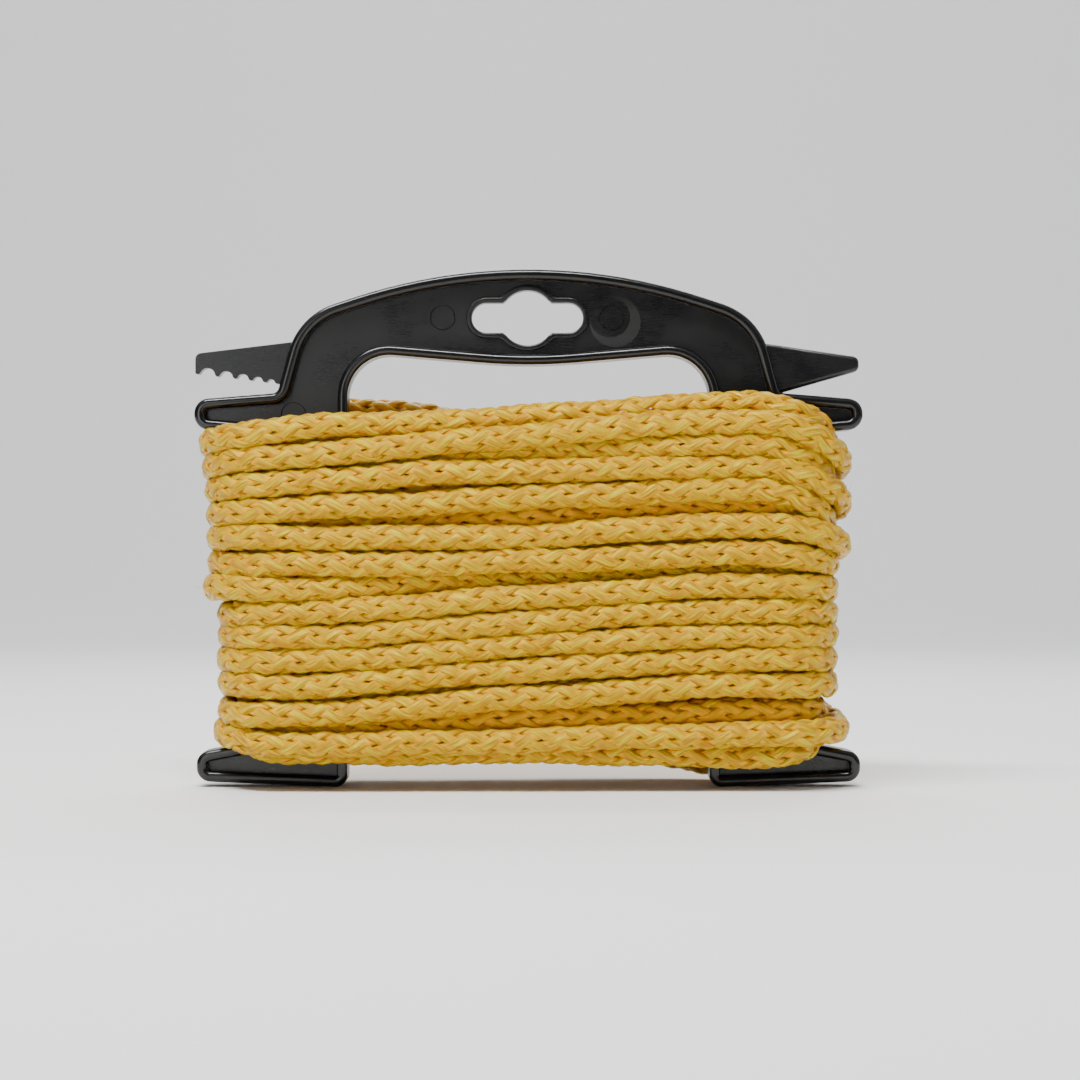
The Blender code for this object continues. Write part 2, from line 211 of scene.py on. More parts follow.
def round_the_core(local, quarter, out):
    """The x and y of points at lengths local along a turn, each its own distance out from the core."""
    radius = CORE_ROUND + out
    end = 2 * CORE_Y
    run = 2 * CORE_X
    pieces = (
        (run, CORE_X, -CORE_Y, -1, 0, 0, -1),
        (quarter, -CORE_X, -CORE_Y, 0, -1, -1, 0),
        (end, -CORE_X, -CORE_Y, 0, 1, -1, 0),
        (quarter, -CORE_X, CORE_Y, -1, 0, 0, 1),
        (run, -CORE_X, CORE_Y, 1, 0, 0, 1),
        (quarter, CORE_X, CORE_Y, 0, 1, 1, 0),
        (end, CORE_X, CORE_Y, 0, -1, 1, 0),
        (quarter, CORE_X, -CORE_Y, 1, 0, 0, -1),
    )
    x = np.zeros_like(local)
    y = np.zeros_like(local)
    start = 0.0
    for number, (length, px, py, ax, ay, bx, by) in enumerate(pieces):
        inside = (local >= start) & (local < start + length + 1e-9)
        part = local[inside] - start
        if number % 2:
            angle = part / length * math.pi / 2
            dx = ax * np.cos(angle) + bx * np.sin(angle)
            dy = ay * np.cos(angle) + by * np.sin(angle)
            x[inside] = px + radius[inside] * dx
            y[inside] = py + radius[inside] * dy
        else:
            x[inside] = px + ax * part + radius[inside] * bx
            y[inside] = py + ay * part + radius[inside] * by
        start += length
    return x, y


def spread(points, spacing):
    """The same line with its points evenly spaced."""
    length = np.concatenate(([0.0], np.cumsum(np.linalg.norm(np.diff(points, axis=0), axis=1))))
    count = int(round(length[-1] / spacing))
    at = np.linspace(0.0, length[-1], count + 1)
    return np.stack([np.interp(at, length, points[:, axis]) for axis in range(3)], axis=1)


def softened(points, passes):
    """The points, each drawn towards its neighbours so many times."""
    for _ in range(passes):
        points[1:-1] = points[1:-1] / 2 + (points[:-2] + points[2:]) / 4
    return points


def smooth_line(places, count):
    """A smooth line of so many points through the places."""
    keys = np.arange(len(places)) * 1.0
    at = np.linspace(0, len(places) - 1, count)
    return np.stack([monotone(keys, places[:, axis], at) for axis in range(3)], axis=1)


def waves(along, table):
    return sum(size * np.sin(along / length + shift) for size, length, shift in table)


def rope_route():
    """The rope's centreline from its inner end to its free end, and where each layer begins."""
    keys, heights, outs, starts = [], [], [], []
    begin = 0.0
    for nominal, z, out in all_turns():
        quarter, whole = turn_sizes(nominal)
        starts.append((begin, quarter, whole))
        for place, height, distance in zip(key_places(quarter), z, out):
            keys.append(begin + place)
            heights.append(height)
            outs.append(distance)
        begin += whole
    keys, heights, outs = np.array(keys), np.array(heights), np.array(outs)
    quarter = starts[-1][1]
    last = starts[-1][0] + 3 * CORE_X + 2 * quarter + 2 * CORE_Y + TAIL_FROM_X
    along = np.arange(CORE_X - START_X, last, ROUTE_STEP)
    height = monotone(keys, heights, along)
    out = monotone(keys, outs, along)
    height += waves(along, HEIGHT_WAVES)
    out += waves(along, OUT_WAVES)
    x = np.zeros_like(along)
    y = np.zeros_like(along)
    for begin, quarter, whole in starts:
        mine = (along >= begin) & (along < begin + whole)
        x[mine], y[mine] = round_the_core(along[mine] - begin, quarter, out[mine])
    coil = np.stack([x, y, height], axis=1)
    tail = smooth_line(np.array([coil[-TAIL_JOIN], *TAIL]), TAIL_POINTS)
    whole_line = np.concatenate([coil[:-TAIL_JOIN], tail])
    points = softened(spread(whole_line, ROUTE_STEP), SOFTENING_PASSES)
    layers = [starts[INNER_TURNS][0], starts[INNER_TURNS + len(MIDDLE_TURNS)][0]]
    return points, [np.count_nonzero(along < place) * ROUTE_STEP for place in layers]


# ---------------------------------------------------------------- the braid

# In millimetres. Eight strands, four each way round, that pass over and under each other.
STRANDS_EACH_WAY = 4
BRAID_PITCH = 37
RINGS_PER_PITCH = 28
STRAND_CIRCLE = 2.42
STRAND_WEAVE = 0.42
STRAND_WIDTH = 3.15
STRAND_THICKNESS = 1.78

# Corners round a strand in the inner, middle and outer layers.
STRAND_SIDES = (4, 6, 8)

# Round the ends, from SQUEEZE_FROM_X outwards, the rope is pressed thinner and so stands taller.
SQUEEZE_FROM_X = 66.0
SQUEEZE_OVER = 14.0
SQUEEZE_THINNER = 0.24
RUN_TALLER = 1.06
SQUEEZE_TALLER = 0.05

# The heat-sealed end: its length, how much of it lies back inside the rope, and its radius.
BURNT_LENGTH = 5.0
BURNT_INSIDE = 3.2
BURNT_RADIUS = 3.55
BURNT_SIDES = 20

# How far out of the braid a part counts as lying, from 0 to 1, which sets how much painted orange glow
# it gets: the lower it is, the more of the glow, which stands in for light bounced into the crevices.
# The under layers count as lying deeper, the sealed end takes the full orange, and the hairs get none.
UNDER_LAYER_CROWN = 0.55
BURNT_CROWN = 0.1
HAIR_CROWN = 1.0

# Broken filaments, and the long one, which lies down the front.
HAIR_SEED = 11
HAIR_COUNT = 150
HAIR_SIDES = 3
HAIR_POINTS = 9
HAIR_END_MARGIN = 40
HAIR_ROOT = 3.3
LONG_HAIR_POINTS = 40
LONG_HAIR_RADIUS = 0.07
LONG_HAIR = (
    (-61.6, -25.2, 57.6),
    (-61.9, -25.9, 52.0),
    (-60.9, -25.6, 46.5),
    (-57.6, -25.9, 41.8),
    (-53.6, -25.5, 37.0),
    (-51.2, -25.8, 33.6),
    (-49.2, -25.1, 31.2),
)


def unit_rows(v):
    return v / np.linalg.norm(v, axis=1, keepdims=True)


def rope_frames(points):
    """Along, outward and roughly upward directions at each point."""
    along = unit_rows(np.gradient(points, axis=0))
    up = np.array([0.0, 0.0, 1.0])
    side = unit_rows(up - along * (along @ up)[:, None])
    return along, np.cross(side, along), side


def squeeze(points):
    """How thick and how tall the rope is at each point, against a round one."""
    end = np.clip((np.abs(points[:, 0]) - SQUEEZE_FROM_X) / SQUEEZE_OVER, 0.0, 1.0)
    end = end * end * (3 - 2 * end)
    return 1.0 - SQUEEZE_THINNER * end, RUN_TALLER + SQUEEZE_TALLER * end


def mesh_object(name, vertices, quads):
    mesh = bpy.data.meshes.new(name)
    mesh.vertices.add(len(vertices))
    mesh.vertices.foreach_set("co", np.ascontiguousarray(vertices, np.float32).ravel())
    mesh.loops.add(quads.size)
    mesh.loops.foreach_set("vertex_index", np.ascontiguousarray(quads, np.int32).ravel())
    mesh.polygons.add(len(quads))
    mesh.polygons.foreach_set("loop_start", np.arange(0, quads.size, 4, dtype=np.int32))
    mesh.polygons.foreach_set("use_smooth", np.ones(len(quads), bool))
    mesh.update(calc_edges=True)
    thing = bpy.data.objects.new(name, mesh)
    bpy.context.scene.collection.objects.link(thing)
    return thing


def ring_quads(rings, sides, first):
    """Faces between rings of corners that follow each other, numbered from first."""
    ring = np.arange(rings - 1)[:, None] * sides
    side = np.arange(sides)[None, :]
    following = (side + 1) % sides
    corners = [ring + side, ring + following, ring + sides + following, ring + sides + side]
    return np.stack(corners, axis=2).reshape(-1, 4) + first


def strand(points, frames, where, number, sides):
    """One strand's corners, their length, way round and strand number, and how far out each lies.

    The braid twists slowly to and fro, and each strand stands a little more or less proud.
    """
    out, side = frames[1:]
    sense = 1 if number < STRANDS_EACH_WAY else -1
    angle = sense * 2 * math.pi * where / BRAID_PITCH + number % STRANDS_EACH_WAY * math.pi / 2
    angle = angle + 0.9 * np.sin(where / 131.0) + 0.5 * np.sin(where / 47.0 + 1.0)
    weave = sense * np.cos(8 * math.pi * where / BRAID_PITCH)
    thin, wide = squeeze(points)
    radius = STRAND_CIRCLE + STRAND_WEAVE * weave
    proud = 1.0 + 0.018 * np.sin(where / 3.1 + number) + 0.015 * np.sin(where / 7.7 + 2.0 * number)
    radius = radius * proud
    outward = out * (np.cos(angle) * thin * radius)[:, None]
    upward = side * (np.sin(angle) * wide * radius)[:, None]
    centre = points + (outward + upward)
    direction = unit_rows(np.gradient(centre, axis=0))
    away = out * (np.cos(angle) / thin)[:, None] + side * (np.sin(angle) / wide)[:, None]
    away = unit_rows(away - direction * np.sum(away * direction, axis=1)[:, None])
    across = np.cross(direction, away)
    turn = 2 * math.pi * np.arange(sides) / sides - math.pi / 2
    flat = np.cos(turn)
    rise = np.sin(turn)
    corners = (
        centre[:, None, :]
        + across[:, None, :] * (flat * STRAND_WIDTH / 2)[None, :, None]
        + away[:, None, :] * (rise * STRAND_THICKNESS / 2)[None, :, None]
    )
    fibre = np.empty(corners.shape)
    fibre[:, :, 0] = where[:, None]
    fibre[:, :, 1] = (np.arange(sides) * 8.0 / sides)[None, :]
    fibre[:, :, 2] = number + 1.0
    # How far out each ring lies as the strand weaves: where it dives under, it gets more of the painted
    # glow.
    crown = 0.5 + 0.5 * weave[:, None] * np.ones(sides)[None, :]
    return corners.reshape(-1, 3), fibre.reshape(-1, 3), crown.reshape(-1)


def rings_along(line, radii, sides):
    """Rings of corners round a line, each at its own radius."""
    along = unit_rows(np.gradient(line, axis=0))
    side = unit_rows(np.cross(along, np.array([0.31, 0.52, 0.80])))
    over = np.cross(along, side)
    turn = 2 * math.pi * np.arange(sides) / sides
    one_way = side[:, None, :] * np.cos(turn)[None, :, None]
    other_way = over[:, None, :] * np.sin(turn)[None, :, None]
    return line[:, None, :] + (one_way + other_way) * np.asarray(radii)[:, None, None]


def burnt_end(end, along):
    """The heat-sealed free end: the strands run into a smooth, slightly swollen button."""
    steps = np.linspace(0.0, 1.0, 9)
    line = end + along * (steps * BURNT_LENGTH - BURNT_INSIDE)[:, None]
    radii = BURNT_RADIUS * np.sqrt(np.clip(1.0 - (2 * steps - 1) ** 4, 0.004, 1.0))
    return [(rings_along(line, radii, BURNT_SIDES), BURNT_SIDES)]


def stray_fibres(points, frames, first):
    """Broken filaments that stand off the outer turns, and one long one lying down the front."""
    chance = np.random.default_rng(HAIR_SEED)
    along, out, side = frames
    hairs = []
    steps = np.linspace(0.0, 1.0, HAIR_POINTS)[:, None]
    for _ in range(HAIR_COUNT):
        place = int(chance.integers(first, len(points) - HAIR_END_MARGIN))
        angle = chance.uniform(-1.4, 1.4)
        away = out[place] * math.cos(angle) + side[place] * math.sin(angle)
        lean = along[place] * chance.uniform(-1.0, 1.0) + side[place] * chance.uniform(-0.5, 0.5)
        reach = chance.uniform(1.2, 3.2)
        rise = chance.uniform(0.35, 0.95)
        curl = np.sin(steps * chance.uniform(1.0, 3.0)) * chance.uniform(-0.8, 0.8)
        line = points[place] + away * (HAIR_ROOT + rise * reach * steps * (1.3 - 0.5 * steps))
        line = line + lean * reach * steps + along[place] * curl
        radii = np.full(HAIR_POINTS, chance.uniform(0.035, 0.06))
        hairs.append((rings_along(line, radii, HAIR_SIDES), HAIR_SIDES))
    line = smooth_line(np.array(LONG_HAIR), LONG_HAIR_POINTS)
    radii = np.full(LONG_HAIR_POINTS, LONG_HAIR_RADIUS)
    hairs.append((rings_along(line, radii, HAIR_SIDES), HAIR_SIDES))
    return hairs


def build_rope():
    """The whole rope as one mesh, its centreline and its length, both in metres."""
    points, layers = rope_route()
    points = spread(points, BRAID_PITCH / RINGS_PER_PITCH)
    length = float(np.linalg.norm(np.diff(points, axis=0), axis=1).sum())
    where = np.linspace(0.0, length, len(points))
    frames = rope_frames(points)
    cuts = [int(place * RINGS_PER_PITCH / BRAID_PITCH) for place in layers]
    cuts = [0, *cuts, len(points) - 1]
    vertices, fibres, crowns, quads = [], [], [], []
    total = 0
    for first, last, sides in zip(cuts, cuts[1:], STRAND_SIDES):
        part = slice(first, last + 1)
        mine = [direction[part] for direction in frames]
        for number in range(2 * STRANDS_EACH_WAY):
            corners, fibre, crown = strand(points[part], mine, where[part], number, sides)
            vertices.append(corners)
            fibres.append(fibre)
            # The under layers count as lying deeper, so they get more of the painted glow.
            crowns.append(crown * (1.0 if sides == STRAND_SIDES[-1] else UNDER_LAYER_CROWN))
            quads.append(ring_quads(last + 1 - first, sides, total))
            total += len(corners)
    extras = burnt_end(points[-1], frames[0][-1]) + stray_fibres(points, frames, cuts[2])
    for rings, sides in extras:
        corners = rings.reshape(-1, 3)
        vertices.append(corners)
        steps = np.repeat(np.arange(len(rings)), sides)
        fibres.append(np.stack([steps, np.zeros(len(corners)), corners[:, 0]], 1))
        crowns.append(np.full(len(corners), HAIR_CROWN if sides == HAIR_SIDES else BURNT_CROWN))
        quads.append(ring_quads(len(rings), sides, total))
        total += len(corners)
    rope = mesh_object("braided_rope", np.concatenate(vertices) * MM, np.concatenate(quads))
    fibre = rope.data.attributes.new("fibre", "FLOAT_VECTOR", "POINT")
    fibre.data.foreach_set("vector", np.concatenate(fibres).astype(np.float32).ravel())
    # The crown sets how much painted glow each part gets in the rope's material.
    crown = rope.data.attributes.new("crown", "FLOAT", "POINT")
    crown.data.foreach_set("value", np.concatenate(crowns).astype(np.float32))
    return rope, points * MM, length * MM


rope, rope_points, rope_length = build_rope()
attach(rope, "root")
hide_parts("rope_coil", "rope_tail")


# ---------------------------------------------------------------- the moulding

# Frame: depths along Y.
RIM_DEPTH = 0.011
WEB_DEPTH = 0.003
BOSS_DEPTH = 0.005
JAW_DEPTH = 0.004
SPIKE_DEPTH = 0.005
BEAD_ROUND = 0.0013
SPIKE_ROUND = 0.0012

# Frame: its outline across X and up Z.
OUTER_BEAD = 0.0031
INNER_BEAD = 0.0029
GRIP_HALF = 0.0518
UPRIGHT_OUTER = 0.0725
ARCH_CORNER_Z = 0.1567
ARCH_RADIUS = 0.160
SHOULDER = (0.0659, 0.1350)
SHOULDER_RADIUS = 0.020
HORN_ROOT = (0.0719, 0.1128)
HORN_TIP_X = 0.0957
HORN_TIP_Z = (0.1025, 0.1110)
HORN_TIP_RADIUS = 0.0044
HORN_UNDERSIDE_Z = 0.1005
FOOT_TIP_X = 0.0950
FOOT_TIP_TOP_Z = 0.0098
FOOT_TIP_RADIUS = 0.0040
FOOT_ROOT_Z = 0.0140
SOLE_SLOPE = math.radians(2.35)
SOLE_CORNER_RADIUS = 0.0035
ROOT_RADIUS = 0.0020
CROSSBAR_Z = (0.0470, 0.0650)
CROSSBAR_RADIUS = 0.0080
GRIP_TOP_MIDDLE_Z = 0.1203
GRIP_TOP_SIDE_Z = 0.1247
GRIP_BELLY_RADIUS = 0.160
GRIP_CORNER_RADIUS = 0.0120

# Hang hole in the handle: a round hole on a long slot, with a low rim.
HANG_CENTRE = (-0.0003, 0.1345)
HANG_ROUND_RADIUS = 0.0079
HANG_SLOT_LENGTH = 0.0320
HANG_SLOT_HEIGHT = 0.0086
HANG_RIM = 0.0016
HANG_RIM_ROUND = 0.0005
HANG_CORNER_ANGLE = math.radians(7)
HANG_FLAT = 0.0004

# Round ejector-pin marks, on both faces of the web: a groove round a button that is almost flush.
PIN_MARKS = ((-0.0246, 0.1346), (0.0240, 0.1346), (-0.0675, 0.1067))
PIN_MARK_RADIUS = 0.0037
PIN_MARK_DEPTH = 0.0008
PIN_MARK_GROOVE = 0.0004
PIN_MARK_STEP = 0.0001

# Jaw plate on the left, with notches that shrink towards its root.
JAW_CORNERS = (
    (-0.0665, 0.1277, 0.0),
    (-0.0957, 0.1242, 0.0018),
    (-0.0957, 0.1183, 0.0006),
    (-0.0698, 0.1152, 0.0),
)
NOTCH_COUNT = 5
NOTCH_START_X = -0.0922
NOTCH_FIRST_RADIUS = 0.0022
NOTCH_RADIUS_STEP = 0.00026
TOOTH_WIDTH = 0.0012

# The jaw's lower edge: what is kept of the plate above it, and how tooth corners are eased.
PLATE_MARGIN = 0.0001
TOOTH_EASE = 0.00035
TOOTH_EASE_UP = 0.00012
NOTCH_STEPS = 14
NOTCH_LIP_ANGLE = 0.25

# Spike plate on the right.
SPIKE_CORNERS = (
    (0.0702, 0.1123, 0.0),
    (0.0949, 0.1193, 0.0019),
    (0.0949, 0.1233, 0.0019),
    (0.0663, 0.1275, 0.0),
)

# Curve quality.
CHORD_ERROR = 0.00002
ARC_STEPS = 24
ROUND_STEPS = 6
FEWEST_FILLET_STEPS = 4
SMALLEST_RADIUS = 0.0004
WELD_DISTANCE = 1e-6
SMOOTH_ANGLE = math.radians(38)


def unit(dx, dz):
    length = math.hypot(dx, dz)
    return dx / length, dz / length


def turn_at(corners, index):
    """Signed turn in radians at one corner of a closed outline, with both edge directions."""
    x0, z0 = corners[index - 1][:2]
    x1, z1 = corners[index][:2]
    x2, z2 = corners[(index + 1) % len(corners)][:2]
    before = unit(x1 - x0, z1 - z0)
    after = unit(x2 - x1, z2 - z1)
    cross = before[0] * after[1] - before[1] * after[0]
    dot = before[0] * after[0] + before[1] * after[1]
    return math.atan2(cross, dot), before, after


def rounded(corners, distance=0.0):
    """Points round a closed outline of (x, z, fillet radius) corners, moved inwards by a distance.

    However far it is moved, it has the same number of points, so such outlines can be joined up.
    """
    points = []
    for index, corner in enumerate(inset(corners, distance)):
        x, z, radius = corner
        nominal = corners[index][2]
        turn, before, after = turn_at(corners, index)
        if nominal == 0.0 or abs(turn) < 1e-6:
            points.append((x, z))
            continue
        tangent = radius * math.tan(abs(turn) / 2)
        side = math.copysign(1.0, turn)
        start = (x - before[0] * tangent, z - before[1] * tangent)
        centre = (start[0] - before[1] * radius * side, start[1] + before[0] * radius * side)
        step = 2 * math.acos(1 - CHORD_ERROR / nominal)
        count = max(FEWEST_FILLET_STEPS, math.ceil(abs(turn) / step))
        for number in range(count + 1):
            angle = turn * number / count
            dx, dz = start[0] - centre[0], start[1] - centre[1]
            points.append((
                centre[0] + dx * math.cos(angle) - dz * math.sin(angle),
                centre[1] + dx * math.sin(angle) + dz * math.cos(angle),
            ))
    return points


def inset(corners, distance):
    """The same counter-clockwise outline moved inwards by a distance (outwards when negative)."""
    moved = []
    for index, (x, z, radius) in enumerate(corners):
        turn, before, after = turn_at(corners, index)
        reach = distance * math.tan(turn / 2)
        new_x = x - before[1] * distance - before[0] * reach
        new_z = z + before[0] * distance - before[1] * reach
        new_radius = radius - distance if turn > 0 else radius + distance
        moved.append((new_x, new_z, max(new_radius, SMALLEST_RADIUS)))
    return moved


def outline_object(name, loops, depth):
    """A plate with an outline of closed (x, z) loops, of the given depth and centred on Y = 0."""
    curve = bpy.data.curves.new(name, "CURVE")
    curve.dimensions = "2D"
    curve.fill_mode = "BOTH"
    curve.extrude = depth / 2
    for loop in loops:
        spline = curve.splines.new("POLY")
        spline.points.add(len(loop) - 1)
        for point, (x, z) in zip(spline.points, loop):
            point.co = (x, z, 0.0, 1.0)
        spline.use_cyclic_u = True
    source = bpy.data.objects.new(name, curve)
    bpy.context.scene.collection.objects.link(source)
    source.rotation_euler = (math.pi / 2, 0.0, 0.0)
    bpy.context.view_layer.update()
    return solid_from_curve(source, name)


def solid_from_curve(source, name):
    """Replace a curve object by a welded mesh object in the same place."""
    graph = bpy.context.evaluated_depsgraph_get()
    mesh = bpy.data.meshes.new_from_object(source.evaluated_get(graph))
    mesh.transform(source.matrix_world)
    bpy.data.objects.remove(source)
    edit = bmesh.new()
    edit.from_mesh(mesh)
    bmesh.ops.remove_doubles(edit, verts=edit.verts, dist=WELD_DISTANCE)
    bmesh.ops.recalc_face_normals(edit, faces=edit.faces)
    edit.to_mesh(mesh)
    edit.free()
    mesh.name = name
    solid = bpy.data.objects.new(name, mesh)
    bpy.context.scene.collection.objects.link(solid)
    return solid


def sole_z(x):
    """Height of a foot's sloping sole, so that its inner corner's fillet just touches the ground."""
    rise = math.tan(SOLE_SLOPE)
    corner = -SOLE_CORNER_RADIUS * (rise + 1 / math.cos(SOLE_SLOPE) - 1)
    return corner + rise * (x - GRIP_HALF)


def frame_outline():
    """Corners of the H outline, counter-clockwise from the top of the arch."""
    right = [
        (GRIP_HALF, CROSSBAR_Z[0], CROSSBAR_RADIUS),
        (GRIP_HALF, sole_z(GRIP_HALF), SOLE_CORNER_RADIUS),
        (FOOT_TIP_X, sole_z(FOOT_TIP_X), FOOT_TIP_RADIUS),
        (FOOT_TIP_X, FOOT_TIP_TOP_Z, FOOT_TIP_RADIUS),
        (UPRIGHT_OUTER, FOOT_ROOT_Z, ROOT_RADIUS),
        (UPRIGHT_OUTER, HORN_UNDERSIDE_Z, ROOT_RADIUS),
        (HORN_TIP_X, HORN_TIP_Z[0], HORN_TIP_RADIUS),
        (HORN_TIP_X, HORN_TIP_Z[1], HORN_TIP_RADIUS),
        (*HORN_ROOT, ROOT_RADIUS),
        (*SHOULDER, SHOULDER_RADIUS),
    ]
    left = [(-x, z, radius) for x, z, radius in reversed(right)]
    return [(0.0, ARCH_CORNER_Z, ARCH_RADIUS)] + left + right


def grip_outline():
    """Corners of the finger opening between crossbar and handle, counter-clockwise."""
    return [
        (-GRIP_HALF, CROSSBAR_Z[1], CROSSBAR_RADIUS),
        (GRIP_HALF, CROSSBAR_Z[1], CROSSBAR_RADIUS),
        (GRIP_HALF, GRIP_TOP_SIDE_Z, GRIP_CORNER_RADIUS),
        (0.0, GRIP_TOP_MIDDLE_Z, GRIP_BELLY_RADIUS),
        (-GRIP_HALF, GRIP_TOP_SIDE_Z, GRIP_CORNER_RADIUS),
    ]


def hang_outline(margin):
    """The hang hole, grown by a margin: a round hole on a long slot, with a flat at each corner."""
    x, z = HANG_CENTRE
    round_radius = HANG_ROUND_RADIUS + margin
    end_radius = HANG_SLOT_HEIGHT / 2 + margin
    end_x = (HANG_SLOT_LENGTH - HANG_SLOT_HEIGHT) / 2
    meet = math.asin(end_radius / round_radius)
    corner_x = round_radius * math.cos(meet) + HANG_FLAT
    steps = 2 * ARC_STEPS
    points = []
    for side, first in ((1, -math.pi / 2), (-1, math.pi / 2)):
        for number in range(ARC_STEPS + 1):
            angle = first + math.pi * number / ARC_STEPS
            points.append((
                x + side * end_x + end_radius * math.cos(angle),
                z + end_radius * math.sin(angle),
            ))
        points.append((x + side * corner_x, z + side * end_radius))
        opening = meet + HANG_CORNER_ANGLE
        start = opening if side == 1 else math.pi + opening
        for number in range(steps + 1):
            angle = start + (math.pi - 2 * opening) * number / steps
            points.append((x + round_radius * math.cos(angle), z + round_radius * math.sin(angle)))
        points.append((x - side * corner_x, z + side * end_radius))
    return points


def bead(name, outline_at, width, depth, rounding):
    """A bar of rounded section that follows an outline.

    outline_at gives the outline's points at a distance across the bar.
    """
    half = depth / 2
    section = []
    for across, y, first in (
        (rounding, rounding - half, math.pi),
        (width - rounding, rounding - half, 1.5 * math.pi),
        (width - rounding, half - rounding, 0.0),
        (rounding, half - rounding, 0.5 * math.pi),
    ):
        for number in range(ROUND_STEPS + 1):
            angle = first + math.pi / 2 * number / ROUND_STEPS
            section.append((across + rounding * math.cos(angle), y + rounding * math.sin(angle)))
    rings = []
    for across, y in section:
        rings.append([(x, y, z) for x, z in outline_at(across)])
    rings = np.array(rings)
    count, length = rings.shape[:2]
    quads = []
    for ring in range(count):
        following = (ring + 1) % count
        for place in range(length):
            after = (place + 1) % length
            quads.append((
                ring * length + place,
                ring * length + after,
                following * length + after,
                following * length + place,
            ))
    return mesh_object(name, rings.reshape(-1, 3), np.array(quads))


def circle(centre, radius):
    steps = 2 * ARC_STEPS
    angles = [2 * math.pi * number / steps for number in range(steps)]
    return [(centre[0] + radius * math.cos(a), centre[1] + radius * math.sin(a)) for a in angles]


def jaw_outline():
    """The jaw plate, with round notches along its lower edge that shrink towards the root."""
    plate = rounded(JAW_CORNERS)
    tip_x, tip_z, _ = JAW_CORNERS[2]
    root_x, root_z, _ = JAW_CORNERS[3]
    slope = (root_z - tip_z) / (root_x - tip_x)
    lean = math.atan(slope)
    points = []
    for point in plate:
        if point[1] > tip_z + slope * (point[0] - tip_x) + PLATE_MARGIN:
            points.append(point)
    x = NOTCH_START_X
    radius = NOTCH_FIRST_RADIUS
    for _ in range(NOTCH_COUNT):
        z = tip_z + slope * (x - tip_x)
        points.append((x - radius - TOOTH_EASE, z + slope * (-radius - TOOTH_EASE) + TOOTH_EASE_UP))
        for number in range(NOTCH_STEPS + 1):
            swept = (math.pi - 2 * NOTCH_LIP_ANGLE) * number / NOTCH_STEPS
            angle = math.pi - NOTCH_LIP_ANGLE - swept + lean
            points.append((x + radius * math.cos(angle), z + radius * math.sin(angle)))
        points.append((x + radius + TOOTH_EASE, z + slope * (radius + TOOTH_EASE) + TOOTH_EASE_UP))
        x += 2 * radius - NOTCH_RADIUS_STEP + TOOTH_WIDTH
        radius -= NOTCH_RADIUS_STEP
    points.append((root_x, root_z))
    return points


def build_moulding():
    """The whole frame: two beads, the web between them, the rimmed hang hole, the jaw and the spike."""
    outer = frame_outline()
    grip = grip_outline()

    def outer_at(across):
        return rounded(outer, across)

    def grip_at(across):
        return rounded(grip, -across)

    def hang_at(across):
        return hang_outline(HANG_RIM - across)

    def spike_at(across):
        return rounded(SPIKE_CORNERS, across)

    parts = [
        bead("outer_bead", outer_at, OUTER_BEAD, RIM_DEPTH, BEAD_ROUND),
        bead("grip_bead", grip_at, INNER_BEAD, RIM_DEPTH, BEAD_ROUND),
        bead("hang_rim", hang_at, HANG_RIM, BOSS_DEPTH, HANG_RIM_ROUND),
    ]
    loops = [outer_at(OUTER_BEAD / 2), grip_at(INNER_BEAD / 2), hang_at(HANG_RIM / 2)]
    loops += [circle(mark, PIN_MARK_RADIUS) for mark in PIN_MARKS]
    parts.append(outline_object("web", loops, WEB_DEPTH))
    groove = (PIN_MARK_RADIUS, PIN_MARK_DEPTH)
    button = (PIN_MARK_RADIUS - PIN_MARK_GROOVE, PIN_MARK_STEP)
    for mark in PIN_MARKS:
        for radius, down in (groove, button):
            parts.append(outline_object("mark", [circle(mark, radius)], WEB_DEPTH - 2 * down))
    parts.append(outline_object("jaw", [jaw_outline()], JAW_DEPTH))
    parts.append(bead("spike_edge", spike_at, 2 * SPIKE_ROUND, SPIKE_DEPTH, SPIKE_ROUND))
    parts.append(outline_object("spike", [spike_at(SPIKE_ROUND)], SPIKE_DEPTH))
    return joined("moulded_frame", parts)


def joined(name, parts):
    """One mesh object made of all the parts, shaded smooth except over sharp edges."""
    whole = bmesh.new()
    for part in parts:
        whole.from_mesh(part.data)
        bpy.data.objects.remove(part)
    bmesh.ops.recalc_face_normals(whole, faces=whole.faces)
    mesh = bpy.data.meshes.new(name)
    whole.to_mesh(mesh)
    whole.free()
    mesh.polygons.foreach_set("use_smooth", np.ones(len(mesh.polygons), bool))
    mesh.set_sharp_from_angle(angle=SMOOTH_ANGLE)
    solid = bpy.data.objects.new(name, mesh)
    bpy.context.scene.collection.objects.link(solid)
    return solid


moulding = build_moulding()
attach(moulding, "root")
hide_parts("winder_frame")

# ---------------------------------------------------------------- materials

# Where each colour stands in the rope's streaks, from the deepest to the palest.
STREAK_COLOURS = (
    (0.36, (0.38, 0.12, 0.0)),
    (0.45, (0.50, 0.23, 0.0)),
    (0.53, (0.60, 0.36, 0.0)),
    (0.63, (0.74, 0.58, 0.01)),
)
PATCH_COLOUR = (0.60, 0.38, 0.0)
# Painted glow, which stands in for warm light bounced into the crevices: the rope's colour turns to it
# where strands dive under and on the under layers.
PAINTED_CREVICE_GLOW = (0.88, 0.38, 0.0)

PLASTIC_COLOURS = ((0.0032, 0.0033, 0.0034), (0.0058, 0.0058, 0.0056))
SMUDGE_COLOUR = (0.012, 0.0118, 0.0115)

# Plastic nearer than this to Y = 0 is duller: the web, the hang hole's rim, the jaw and the spike.
DULL_WITHIN = 0.0027

# The smudge lies inside the first circle and outside the second: x, z and radius.
SMUDGE_CIRCLES = ((0.0249, 0.1334, 0.0073), (0.0234, 0.1347, 0.0058))


